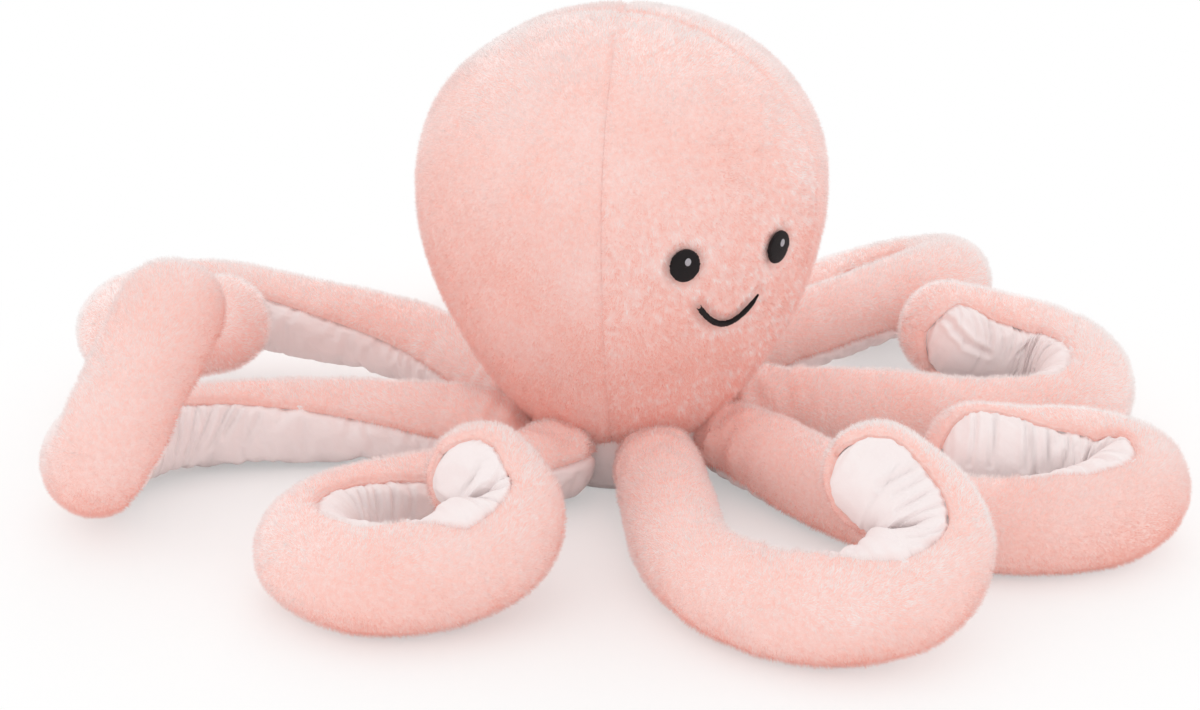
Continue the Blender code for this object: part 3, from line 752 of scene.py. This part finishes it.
def add_base(materials):
    """The white panel that closes the head below."""
    profile = ((0.0005, 0.0), (0.02, 0.0), (0.04, 0.0), (0.052, 0.0002),
               (BASE_RADIUS - 0.001, 0.0015), (BASE_RADIUS + 0.001, 0.006),
               (RIM_RADIUS - 0.001, 0.018), (RIM_RADIUS, RIM_HEIGHT),
               (RIM_RADIUS - 0.004, RIM_HEIGHT + 0.002))
    turns = np.linspace(0, 2 * math.pi, BASE_COLUMNS, endpoint=False)
    grid = np.stack([bearing_direction(turns) * r + UP * z for r, z in profile])
    base = sheet_object("base_nap", grid, materials["nap"], around=True)
    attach(base, "head")
    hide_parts("base_panel")


# Embroidery
def add_patch(name, bearing, height, width, tall, low, thick, pitch, material):
    """A domed oval of satin stitch whose edge is ragged by its threads."""
    rng = np.random.default_rng(len(name))
    turns = np.linspace(0, 2 * math.pi, PATCH_POINTS, endpoint=False)
    level = np.sin(turns) * tall / 2
    thread = np.floor(level / pitch).astype(int)
    threads = rng.uniform(*PATCH_RAGGED, THREADS_DRAWN)
    ragged = 1 + threads[thread % THREADS_DRAWN] * np.abs(np.cos(turns))
    rings, places = [], []
    for share, rise in PATCH_DOME_SHARES:
        x = np.cos(turns) * width / 2 * share * ragged
        z = level * share
        b = bearing + x / FACE_RADIUS
        rings.append(head_place(b, height + z, np.full(len(b), low + thick * rise))[0])
        places.append(np.stack((x, z), -1) / pitch)
    return finish_stitches(name, np.stack(rings), np.stack(places), material)


def finish_stitches(name, grid, places, material, around=True):
    """A stitched piece on the head, with the map that its threads are drawn by."""
    obj = sheet_object(name, grid, material, around=around)
    mesh = obj.data
    layer = mesh.uv_layers.new(name="stitches")
    ids = np.empty(len(mesh.loops), np.int32)
    mesh.loops.foreach_get("vertex_index", ids)
    layer.data.foreach_set("uv", places.reshape(-1, 2)[ids].astype(np.float32).ravel())
    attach(obj, "head")
    return obj


def add_face(materials):
    for side, name in ((-1, "eye_right"), (1, "eye_left")):
        bearing = side * EYE_ANGLE
        eye = add_patch(name + "_satin", bearing, EYE_HEIGHT, EYE_WIDTH, EYE_TALL,
                        -STITCH_SUNK, EYE_THICK, EYE_THREAD, materials["dark"])
        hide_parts(name)
        glint = add_patch(name + "_glint_satin", bearing + GLINT_ASIDE / HEAD_RADIUS,
                          EYE_HEIGHT + GLINT_RISE, GLINT_WIDTH, GLINT_TALL,
                          GLINT_RAISED, GLINT_THICK, THREAD, materials["pale"])
        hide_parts(name + "_glint")
    add_smile(materials)


def add_smile(materials):
    """A rounded line of satin stitch, drawn out thin at one end and blunt at the other."""
    rng = np.random.default_rng(5)
    share = np.linspace(-1, 1, SMILE_POINTS)
    bearing, height = smile_line(share)
    line = np.stack((bearing * FACE_RADIUS, height), 1)
    along = unit(np.gradient(line, axis=0))
    across = np.stack((-along[:, 1], along[:, 0]), 1)
    drawn_out = smooth_share((SMILE_THIN_END - share) / SMILE_THINS_OVER)
    taper = at_least(SMILE_THIN_SHARE, drawn_out)
    taper = taper * smooth_share((share + SMILE_BLUNT_END) / SMILE_BLUNT_OVER)
    ragged = 1 + rng.uniform(*SMILE_RAGGED, len(share))
    rings, places = [], []
    travelled = travelled_along(line)
    for side, rise in SMILE_ROLL_SHARES:
        spot = line + across * (side * SMILE_FULL / 2 * taper * ragged)[:, None]
        lift = -STITCH_SUNK + SMILE_THICK * rise * np.minimum(1, taper + SMILE_THIN_RISE)
        rings.append(head_place(spot[:, 0] / FACE_RADIUS, spot[:, 1], lift)[0])
        aside = np.full(len(share), side * SMILE_THREADS_ACROSS / 2)
        places.append(np.stack((aside, travelled / THREAD), -1))
    smile = finish_stitches("smile_satin", np.stack(rings, 0)[::-1], np.stack(places, 0)[::-1],
                            materials["dark"], around=False)
    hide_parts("smile")


# Arms
def spline(points, steps):
    """A uniform cubic spline that starts at the first point and ends at the last."""
    points = np.asarray(points, float)
    ends = np.vstack((2 * points[0] - points[1], points, 2 * points[-1] - points[-2]))
    t = np.linspace(0, 1, steps, endpoint=False)[:, None]
    weights = ((1 - t) ** 3, 3 * t**3 - 6 * t**2 + 4, 3 * (t + t**2 - t**3) + 1, t**3)
    spans = [
        sum(weight * ends[i + k] for k, weight in enumerate(weights)) / 6
        for i in range(len(ends) - 3)
    ]
    return np.vstack(spans + [points[-1:]])


def arm_radius(share):
    middle = smooth_share(share / MIDDLE_SWELL_SHARE)
    end = smooth_share((share - MIDDLE_SWELL_SHARE) / (END_SWELL_SHARE - MIDDLE_SWELL_SHARE))
    return (ARM_ROOT_RADIUS + (ARM_MIDDLE_RADIUS - ARM_ROOT_RADIUS) * middle
            + (ARM_END_RADIUS - ARM_MIDDLE_RADIUS) * end)


def carried_down(along):
    """The downward direction at the root, carried along the arm without twisting."""
    down = np.zeros_like(along)
    before = -UP
    for i, direction in enumerate(along):
        before = unit(before - direction * (before @ direction))
        down[i] = before
    return down


class Arm:
    """The line of one arm in the object's frame, with rings that are closer where it bends."""

    def __init__(self, index, rings):
        rows = spline(ARM_ROUTE_SHARES[index], SPLINE_STEPS)
        reach = rows[:, :2] * ARM_REACH
        rise = rows[:, 2] * 2 * ARM_END_RADIUS
        length = travelled_along(np.column_stack((reach, rise)))
        radius = arm_radius(length / length[-1])
        centre = np.column_stack((reach, radius - SEATED_FLAT + rise))
        along = unit(np.gradient(centre, axis=0))
        bend = np.gradient(along, axis=0) / np.gradient(length)[:, None]
        sharpness = np.linalg.norm(bend, axis=1)
        turned = np.cumsum((sharpness[1:] + sharpness[:-1]) / 2 * np.diff(length))
        effort = length + BEND_WEIGHT * np.r_[0, turned]
        down = carried_down(along)
        left = np.cross(-down, along)
        roll = np.radians(rows[:, 3])[:, None]
        under = np.cos(roll) * down + np.sin(roll) * left
        table = np.column_stack((centre, along, under, bend, radius, length))
        stations = np.linspace(0, effort[-1], rings)
        table = np.column_stack([np.interp(stations, effort, column) for column in table.T])
        bearing = math.radians(FIRST_ARM_ANGLE + index * 360 / ARMS)
        out, aside = bearing_direction(bearing), bearing_direction(bearing + math.pi / 2)
        turn = np.stack((out, aside, UP))
        centre, along, under, bend = (table[:, i:i + 3] @ turn for i in (0, 3, 6, 9))
        radius, travelled = table[:, 12:].T
        along = unit(along)
        under = unit(under - along * np.sum(under * along, axis=1)[:, None])
        sharpness = np.linalg.norm(bend, axis=1)
        crowding = sharpness * radius
        steep = np.radians(np.concatenate((ROOT_BALL_DEGREES, np.zeros(rings), TIP_BALL_DEGREES)))
        ring = np.clip(np.arange(len(steep)) - len(ROOT_BALL_DEGREES), 0, rings - 1)
        self.around, self.ahead = np.cos(steep)[:, None], np.sin(steep)[:, None]
        self.centre = (centre + out * ARM_RING_RADIUS)[ring][:, None]
        self.along = along[ring][:, None]
        self.inward = (bend / np.maximum(sharpness, 1 / ARM_REACH)[:, None])[ring][:, None]
        self.room = (BEND_ROOM_SHARE / np.maximum(crowding, BEND_ROOM_SHARE))[ring][:, None, None]
        self.crowding = crowding[ring][:, None]
        self.radius = radius[ring][:, None]
        total = length[-1]
        self.travelled = travelled[ring][:, None] + self.ahead * self.radius
        self.share = self.travelled / total
        shares, turns = np.transpose(SOLE_TURNS.get(index, ((0, 0), (1, 0))))
        self.turned = np.radians(np.interp(self.share, shares, turns))
        under = under[ring][:, None]
        turned = self.turned[..., None]
        self.under = under * np.cos(turned) + np.cross(self.along, under) * np.sin(turned)
        self.side = np.cross(self.along, self.under)
        narrowed = smooth_share((self.share - SOLE_NARROWS_FROM) / SOLE_NARROWS_OVER)
        self.half = UNDERSIDE_HALF + (SOLE_HALF - UNDERSIDE_HALF) * narrowed
        self.nearing = (self.travelled - total + SOLE_ROUND) / (
            SOLE_ROUND + SOLE_AHEAD_SHARE * ARM_END_RADIUS)

    def sole_half(self, over=0.0):
        """Half the angle that the white panel takes of each row: it ends in a round toe."""
        nearing = np.maximum(self.nearing, 0) / (1 + over)
        return (self.half + over) * np.sqrt(np.clip(1 - nearing**2, 0, 1))

    def seam_distance(self, angles):
        """Distance to the seam, positive on the white panel."""
        turned = np.abs(within_half_turn(angles)) / self.half
        reach = np.hypot(turned, np.maximum(self.nearing, 0))
        scale = np.where(self.nearing > 0, 1, np.maximum(self.around, LEAST_AROUND))
        return (1 - reach) * self.half * self.radius * scale

    def facing(self, angles):
        """The outward direction at each angle, and how far it points into the bend."""
        straight = np.cos(angles)[..., None] * self.under + np.sin(angles)[..., None] * self.side
        return straight, np.maximum(np.sum(straight * self.inward, axis=-1), 0)

    def toward_sole(self, angles):
        """The direction over the cloth that leads to the white panel."""
        turned = within_half_turn(angles)
        round_it = np.cos(angles)[..., None] * self.side - np.sin(angles)[..., None] * self.under
        ahead = np.maximum(self.nearing, 0)[..., None]
        return unit(-round_it * (turned / self.half)[..., None] - self.along * ahead)

    def unrolled(self, angles, spread):
        """Places on the cloth laid flat, with the given width for each radian."""
        return np.stack(np.broadcast_arrays(angles * spread, 0.0, self.travelled), -1)

    def skin(self, angles, height):
        """Points at a height over the arm's outline."""
        straight, inward = self.facing(angles)
        spoke = straight + self.inward * inward[..., None] * (self.room - 1)
        deep = (self.radius + height)[..., None]
        return (self.centre + self.along * self.ahead[..., None] * deep
                + spoke * self.around[..., None] * deep)


def fold_lines(arm, angles, lines):
    """How deep the plain folds press into the white panel: a line with a soft lip beside it."""
    spot = np.stack(np.broadcast_arrays(arm.travelled, (angles + arm.turned) * arm.radius), -1)
    total = np.zeros(spot.shape[:-1])
    for *ends, depth, width in lines:
        first, last = (np.array((place * MILLIMETRE, math.radians(angle) * ARM_END_RADIUS))
                       for place, angle in (ends[:2], ends[2:]))
        run = last - first
        share = np.clip((spot - first) @ run / (run @ run), 0, 1)
        bow = np.sin(share * math.pi) * FOLD_BOW
        aside = spot - first - share[..., None] * run + bow[..., None] * (1, 0)
        away = np.linalg.norm(aside, axis=-1) / (width * MILLIMETRE)
        held = np.clip(share, FOLD_ENDS, 1 - FOLD_ENDS)
        taper = at_least(FOLD_END_SHARE, np.sin(held * math.pi))
        shape = FOLD_LIP_SHARE * near_line(away - FOLD_LIP_AWAY, 1) - near_line(away, 1)
        total += taper * depth * FOLD_DEPTH_UNIT * shape
    return total


def settle(grid):
    """Cloth that would be below the floor lies on it."""
    z = grid[..., 2]
    pressed = np.exp(np.minimum(z - SETTLE_HEIGHT, 0) / SETTLE_HEIGHT)
    grid[..., 2] = np.where(
        z < SETTLE_HEIGHT, FLOOR_CLEAR + (SETTLE_HEIGHT - FLOOR_CLEAR) * pressed, z)
    return grid


def slack_panel(index, material):
    """The white panel of an arm as a bare sheet of cloth, cut longer than its place."""
    arm = Arm(index, PLUSH_RINGS)
    rows = int(np.searchsorted(arm.nearing[:, 0], FOLDED_NEARING))
    angles = np.linspace(-1, 1, SLACK_COLUMNS) * arm.sole_half()
    grid = arm.skin(angles, 0 * angles - NAP_ROOM)[:rows]
    uneven = lumps(arm.unrolled(angles, NAP_SPREAD)[:rows], UNEVEN_SIZE, index + 5) * UNEVEN_HEIGHT
    sheet = sheet_object(f"slack_{index}", grid + grid_normals(grid) * uneven[..., None], material)
    sewn = sheet.vertex_groups.new(name="sewn")
    even = sheet.vertex_groups.new(name="cut even")
    ids = np.arange(rows * SLACK_COLUMNS).reshape(rows, SLACK_COLUMNS)
    for edge in (ids[:, 0], ids[:, -1], ids[0], ids[-1]):
        sewn.add(edge.tolist(), 1.0, "REPLACE")
    bent = np.clip(arm.crowding * arm.facing(angles)[1] / FULL_SLACK_CROWDING, 0, 1)[:rows]
    slack = at_least(STRAIGHT_SLACK_SHARE, bent)
    for place, share in enumerate(slack.ravel()):
        even.add([place], float(1 - share), "REPLACE")
    cloth = sheet.modifiers.new("folds", "CLOTH")
    cut = cloth.settings
    cut.quality = 6
    cut.mass = 0.1
    cut.bending_stiffness = 0.02
    cut.air_damping = 0.0
    cut.tension_damping = cut.compression_damping = cut.shear_damping = 0.5
    cut.bending_damping = 0.05
    cut.effector_weights.gravity = 0
    cut.vertex_group_mass = "sewn"
    cut.vertex_group_shrink = "cut even"
    cut.shrink_min, cut.shrink_max = -SLACK_SHARE, 0.0
    cloth.point_cache.frame_start, cloth.point_cache.frame_end = 1, FOLD_FRAMES
    return sheet, grid


def find_folds(material):
    """How far each arm's white cloth rises and sinks once its slack has folded."""
    panels = [slack_panel(index, material) for index in range(ARMS)]
    for step in range(1, FOLD_FRAMES + 1):
        bpy.context.scene.frame_set(step)
    depsgraph = bpy.context.evaluated_depsgraph_get()
    found = []
    for sheet, grid in panels:
        mesh = sheet.evaluated_get(depsgraph).to_mesh()
        points = np.empty(grid.size, np.float32)
        mesh.vertices.foreach_get("co", points)
        moved = np.sum((points.reshape(grid.shape) - grid) * grid_normals(grid), axis=-1)
        found.append(np.tanh(moved / FOLD_CAP) * FOLD_CAP)
    for sheet, _ in panels:
        bpy.data.objects.remove(sheet)
    bpy.context.scene.frame_set(1)
    return found


def finer(values, rows, columns):
    """A table of values at more rows and columns."""
    down = np.linspace(0, len(values) - 1, rows)
    values = np.column_stack([np.interp(down, np.arange(len(values)), v) for v in values.T])
    across = np.linspace(0, values.shape[1] - 1, columns)
    return np.stack([np.interp(across, np.arange(values.shape[1]), v) for v in values])


def tucked(arm, angles, height):
    """A sheet whose two long edges turn in under the seam, and the part of it that shows."""
    grid = settle(arm.skin(angles, height))
    under = settle(arm.skin(angles, height - TUCK))
    return np.concatenate((under[:, :1], grid, under[:, -1:]), 1), grid


def stuffing(arm, angles, index, seed):
    """Slow swells of the stuffing, the same on both panels."""
    spot = np.stack(np.broadcast_arrays(
        np.cos(angles) * ARM_END_SPREAD, np.sin(angles) * ARM_END_SPREAD, arm.travelled), -1)
    place, far = BEND_SWELLS.get(index, (0, 0))
    pressed = far * near_line(arm.travelled - place, BEND_SWELL_LENGTH) * arm.facing(angles)[1]
    return lumps(spot, STUFFING_SIZE, seed) * STUFFING_HEIGHT + pressed


def add_arm_plush(name, index, seed, materials):
    """The furred panel of an arm, creased at its root, and its pile."""
    arm = Arm(index, PLUSH_RINGS)
    from_seam = spaced(0, 1, PLUSH_COLUMNS, PLUSH_EDGE_PULL) * 2
    angles = arm.sole_half() + from_seam * (math.pi - arm.sole_half())
    away = -arm.seam_distance(angles)
    spot = arm.unrolled(angles, PLUSH_SPREAD)
    root = smooth_share((ROOT_CREASED - arm.travelled) / ROOT_CREASED)
    creases = (root * ROOT_CREASE + EVERY_CREASE) * lumps(spot, CREASE_SIZE, seed + 1)
    plain = arm.skin(angles, 0 * angles)
    reach = np.linalg.norm(plain[..., :2], axis=-1)
    beyond_head = reach - np.interp(plain[..., 2], OUTLINE[:, 1], OUTLINE[:, 0]) - ROOT_SEAM_OUT
    groove = (SEAM_DEPTH * near_line(away, SEAM_WIDTH)
              + ROOT_SEAM_DEPTH * near_line(beyond_head, ROOT_SEAM_WIDTH))
    gathers = lumps(spot * GATHER_STRETCH, PLUSH_GATHER_SIZE, seed + 2) * PLUSH_GATHER
    gathers = gathers * near_line(away, PLUSH_GATHER_REACH)
    height = -PILE_ROOM - groove + stuffing(arm, angles, index, seed) + creases + gathers
    cloth, grid = tucked(arm, angles, height)
    plush = sheet_object(name + "_plush", cloth, materials["plush"])
    shortness = at_least(ARM_SEAM_PILE_SHARE, smooth_share(away / ARM_SEAM_PILE_REACH))
    above_floor = smooth_share((grid[..., 2] - FLOOR_PILE_FROM) / FLOOR_PILE_OVER)
    shortness = shortness * at_least(FLOOR_PILE_SHARE, above_floor)
    # painted shade along the seam and the root's seam, and each arm's pile painted paler for the
    # light on it
    deep = (near_line(away, ARM_SEAM_SHADE_WIDTH) * ARM_SEAM_PAINTED_SHADE
            + near_line(beyond_head, ROOT_SEAM_SHADE_WIDTH) * ROOT_SEAM_PAINTED_SHADE - ARM_PAINTED_PALENESS[index])
    over = near_line(away, PILE_TURNS_WIDTH)[..., None]
    way = arm.along * (1 - over) + arm.toward_sole(angles) * over * PILE_TURNS
    pile = grow_pile(name + "_pile", grid, grid_normals(grid), way, shortness, deep, PLUSH_FLECK,
                     seed + 20, materials["pile"])
    pile.parent = plush
    return plush, pile


def add_arm_nap(name, index, seed, folds, materials):
    """The white panel of an arm, with its folds, creases and gathers."""
    arm = Arm(index, NAP_RINGS)
    rows = int(np.searchsorted(arm.nearing[:, 0], NAP_ENDS_NEARING)) + 1
    folded = int(np.searchsorted(arm.nearing[:, 0], FOLDED_NEARING))
    angles = spaced(-1, 1, NAP_COLUMNS, NAP_EDGE_PULL) * arm.sole_half(NAP_OVERLAP)
    away = arm.seam_distance(angles)
    groove = NAP_SEAM_DEPTH * near_line(np.minimum(away, NAP_SEAM_REACH), SEAM_WIDTH)
    sunk = SOLE_SUNK + TIP_SOLE_SUNK * smooth_share((arm.share - TIP_SINKS_FROM) / TIP_SINKS_OVER)
    spot = arm.unrolled(angles, NAP_SPREAD)
    small = lumps(spot, SMALL_LUMP_SIZE, seed + 3) * SMALL_LUMP
    gathers = np.abs(lumps(spot * GATHER_STRETCH, NAP_GATHER_SIZE, seed + 4))
    gathers = gathers * near_line(away, NAP_GATHER_REACH)
    wander = lumps(spot, CREASE_WANDER_SIZE, seed + 5)[..., None] * CREASE_WANDER
    drawn = spot * CREASE_STRETCH + wander
    crease = near_line(lumps(drawn, NAP_CREASE_SIZE, seed + 6), NAP_CREASE_WIDTH)
    crease = crease * smooth_share((arm.share - CREASES_FROM) / CREASES_OVER)
    crease = crease * smooth_share((CREASES_END_NEARING - arm.nearing) / CREASES_FADE)
    height = (-NAP_ROOM - groove - sunk * np.cos(angles) + stuffing(arm, angles, index, seed) + small
              - NAP_GATHER * gathers - NAP_CREASE * crease)
    height[:folded] += finer(folds, folded, NAP_COLUMNS)
    plain_folds = fold_lines(arm, angles, FOLD_LINES.get(index, ()))
    height += plain_folds * smooth_share(away / FOLDS_END_WIDTH)
    cloth, _ = tucked(arm, angles, height)
    return sheet_object(name + "_nap", cloth[:rows], materials["nap"])


def add_arm(index, folds, materials):
    name = f"arm_{index + 1}"
    seed = 1000 + 100 * index
    plush, pile = add_arm_plush(name, index, seed, materials)
    nap = add_arm_nap(name, index, seed, folds, materials)
    for piece, slot in ((plush, "pink_plush"), (nap, "white_plush")):
        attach(piece, name)
    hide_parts(name + "_top", name + "_filling")
    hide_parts(name + "_underside")


# Studio
VIEW_TURN = math.radians(-31.5)
VIEW_PITCH = math.radians(21.0)
VIEW_DISTANCE = 1.6
VIEW_AIM = (-0.014, 0.0, 0.0715)
VIEW_FOCAL_PIXELS = 2456
PHOTO_WIDTH_PIXELS = 1200
SENSOR_WIDTH = 36.0
NEAREST_SEEN = 0.05
LIGHT_AIM_HEIGHT = 0.08
SKY_STRENGTH = 0.96
# name, place as seen from the camera, width and power
SOFT_BOXES = (
    ("overhead box", (-0.3, 0.3, 2.6), 2.2, 2.5),
    ("left box", (-2.0, -1.2, 0.5), 1.4, 2.0),
    ("right box", (2.2, -0.6, 0.5), 1.4, 2.0),
    ("low front box", (0.2, -2.4, 0.3), 1.6, 2.0),
    ("back box", (0.1, 2.2, 1.5), 1.8, 5.0),
)
FLOOR_HALF = 6.0
# the floor turns into the white background between these distances from the middle
FLOOR_FADES_FROM = 0.26
FLOOR_FADES_TO = 0.56
FLOOR_WHITE_SHARE = 0.38


def seen_from_camera(x, y, z):
    """A place given to the right of, beyond and above the middle, as the camera faces."""
    c, s = math.cos(VIEW_TURN), math.sin(VIEW_TURN)
    return Vector((x * c - y * s, x * s + y * c, z))


def add_camera():
    forward = seen_from_camera(0.0, math.cos(VIEW_PITCH), -math.sin(VIEW_PITCH))
    data = bpy.data.cameras.new("camera")
    data.sensor_width = SENSOR_WIDTH
    data.sensor_fit = "HORIZONTAL"
    data.lens = VIEW_FOCAL_PIXELS * SENSOR_WIDTH / PHOTO_WIDTH_PIXELS
    data.clip_start = NEAREST_SEEN
    camera = link(bpy.data.objects.new("camera", data))
    camera.location = seen_from_camera(*VIEW_AIM) - forward * VIEW_DISTANCE
    camera.rotation_euler = forward.to_track_quat("-Z", "Y").to_euler()
    bpy.context.scene.camera = camera


def add_light(name, place, size, power):
    data = bpy.data.lights.new(name, "AREA")
    data.shape = "DISK"
    data.size = size
    data.energy = power
    light = link(bpy.data.objects.new(name, data))
    light.location = seen_from_camera(*place)
    aim = Vector((0, 0, LIGHT_AIM_HEIGHT)) - light.location
    light.rotation_euler = aim.to_track_quat("-Z", "Y").to_euler()


def rays_that_see_white(wire):
    """1 for the rays that show a background: from the camera, off gloss or through glass."""
    camera, gloss, glass = (wire.node("ShaderNodeLightPath", output=name) for name in (
        "Is Camera Ray", "Is Glossy Ray", "Is Transmission Ray"))
    return (camera + gloss + glass).clamped()


def add_lights():
    for box in SOFT_BOXES:
        add_light(*box)
    world = bpy.data.worlds.new("studio")
    world.use_nodes = True
    tree = world.node_tree
    tree.nodes.clear()
    wire = Wire(tree, None)
    soft = wire.node("ShaderNodeBackground", {},
                     {"Color": rgb(1, 0.99, 0.985), "Strength": SKY_STRENGTH})
    white = wire.node("ShaderNodeBackground", {}, {"Color": rgb(1, 1, 1), "Strength": 1.0})
    both = wire.node("ShaderNodeMixShader", {}, {0: rays_that_see_white(wire), 1: soft, 2: white})
    output = tree.nodes.new("ShaderNodeOutputWorld")
    tree.links.new(both.socket, output.inputs["Surface"])
    bpy.context.scene.world = world


def add_floor():
    """A pale floor that takes the shadow near the object and is plain white further off."""
    material, wire, output = start_material("studio floor")
    place = wire.node("ShaderNodeTexCoord", output=3)
    distance = wire.node("ShaderNodeVectorMath", {"operation": "LENGTH"}, {0: place}, 1)
    fading = distance.between(FLOOR_FADES_FROM, FLOOR_FADES_TO)
    away = fading * (1 - FLOOR_WHITE_SHARE) + FLOOR_WHITE_SHARE
    paint = wire.node("ShaderNodeBsdfPrincipled", {}, {
        "Base Color": rgb(0.97, 0.97, 0.97), "Roughness": 0.7, "Specular IOR Level": 0.2})
    white = wire.node("ShaderNodeEmission", {}, {"Color": rgb(1, 1, 1), "Strength": 1.0})
    both = wire.node("ShaderNodeMixShader", {},
                     {0: rays_that_see_white(wire) * away, 1: paint, 2: white})
    wire.tree.links.new(both.socket, output.inputs["Surface"])
    mesh = bpy.data.meshes.new("floor")
    corners = [(x * FLOOR_HALF, y * FLOOR_HALF, 0) for x, y in ((-1, -1), (1, -1), (1, 1), (-1, 1))]
    mesh.from_pydata(corners, [], [(0, 1, 2, 3)])
    mesh.materials.append(material)
    floor = link(bpy.data.objects.new("floor", mesh))


def main():
    bpy.context.scene.view_settings.view_transform = "Standard"
    materials = make_materials()
    add_camera()
    add_lights()
    add_floor()
    add_head(materials)
    add_base(materials)
    add_face(materials)
    for index, folds in enumerate(find_folds(materials["nap"])):
        add_arm(index, folds, materials)


main()
